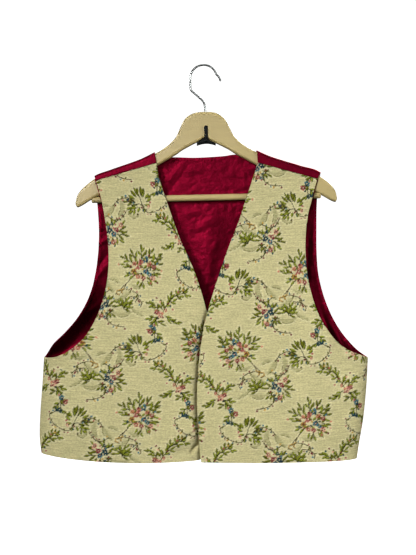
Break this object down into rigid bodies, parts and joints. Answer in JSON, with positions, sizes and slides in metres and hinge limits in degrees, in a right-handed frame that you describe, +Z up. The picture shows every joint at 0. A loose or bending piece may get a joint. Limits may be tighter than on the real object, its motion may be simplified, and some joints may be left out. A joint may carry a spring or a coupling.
{
  "type": "waistcoat on a hanger",
  "caption": "Sleeveless cropped waistcoat with woven floral fronts and a satin back, on a wooden hanger with a wire hook.",
  "frame": {"origin": "inside the top of the hook, where a rail carries the hanger", "axes": "+Z up, -Y out of the front of the waistcoat, +X to the viewer's right"},
  "size_m": [0.5609, 0.0531, 0.6791],
  "materials": {
    "tapestry": "woven cloth, cream ground with olive, rose and blue flower motifs",
    "satin": "burgundy satin",
    "lining_satin": "burgundy satin lining",
    "wood": "pale lacquered wood",
    "chrome": "bright wire",
    "black_plastic": "black"
  },
  "bodies": {
    "root": {"front_left": "tapestry", "front_left_lining": "lining_satin", "front_right": "tapestry", "front_right_lining": "lining_satin", "back": "satin", "back_lining": "lining_satin", "hanger_body": "wood", "hanger_bar": "wood", "hanger_hook": "chrome", "hanger_clip": "black_plastic"}
  },
  "joints": []
}
